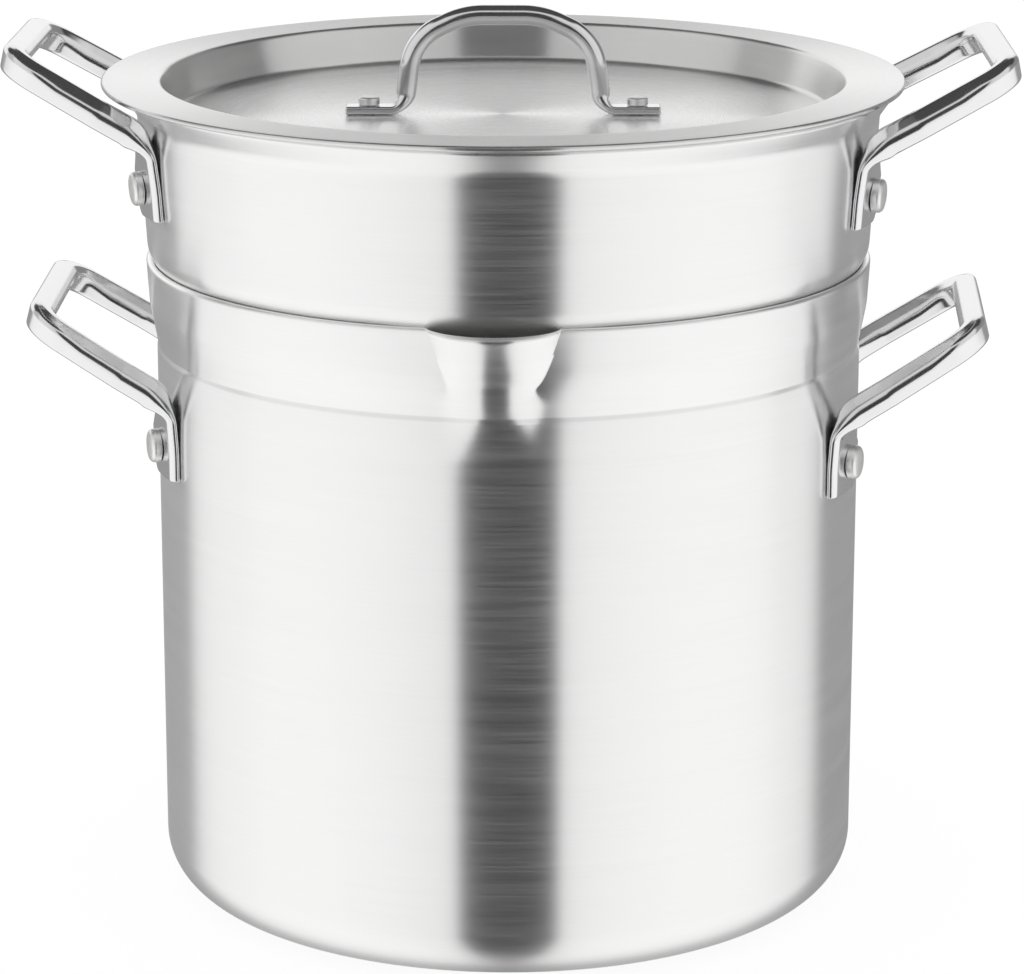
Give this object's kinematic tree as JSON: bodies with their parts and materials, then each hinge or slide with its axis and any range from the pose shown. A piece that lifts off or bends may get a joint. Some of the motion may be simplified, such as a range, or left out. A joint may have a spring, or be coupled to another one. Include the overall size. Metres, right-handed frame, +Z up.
{
  "type": "double boiler",
  "caption": "Two nested aluminium pots, the lower with a pressed pour spout, a recessed lid and folded loop handles.",
  "frame": {"origin": "centre of the lower pot's flat underside", "axes": "+Z up along the pots' axis, -Y towards the pour spout, +X and -X towards the lower pot's loop handles"},
  "size_m": [0.3966, 0.3162, 0.3572],
  "materials": {
    "spun_aluminium": "spun, fine lines round the pot, satin",
    "polished_steel": "folded strip and bent rod, polished",
    "rivet_aluminium": "upset rivet heads, satin"
  },
  "bodies": {
    "lower_pot": {"outer_pot": "spun_aluminium", "outer_handle_left": "polished_steel", "outer_handle_right": "polished_steel", "outer_rivet_left_front": "rivet_aluminium", "outer_rivet_left_rear": "rivet_aluminium", "outer_rivet_right_front": "rivet_aluminium", "outer_rivet_right_rear": "rivet_aluminium"},
    "nested_pot": {"inner_pot": "spun_aluminium", "inner_handle_left": "polished_steel", "inner_handle_right": "polished_steel", "inner_rivet_left_front": "rivet_aluminium", "inner_rivet_left_rear": "rivet_aluminium", "inner_rivet_right_front": "rivet_aluminium", "inner_rivet_right_rear": "rivet_aluminium"},
    "lid_body": {"lid": "spun_aluminium", "lid_handle": "polished_steel", "lid_rivet_left": "rivet_aluminium", "lid_rivet_right": "rivet_aluminium"}
  },
  "joints": [
    {"name": "nested_pot_lift", "type": "slide", "parent": "lower_pot", "child": "nested_pot", "axis": [0, 0, 1], "range_m": [0, 0.16]},
    {"name": "lid_lift", "type": "slide", "parent": "nested_pot", "child": "lid_body", "axis": [0, 0, 1], "range_m": [0, 0.06]}
  ]
}
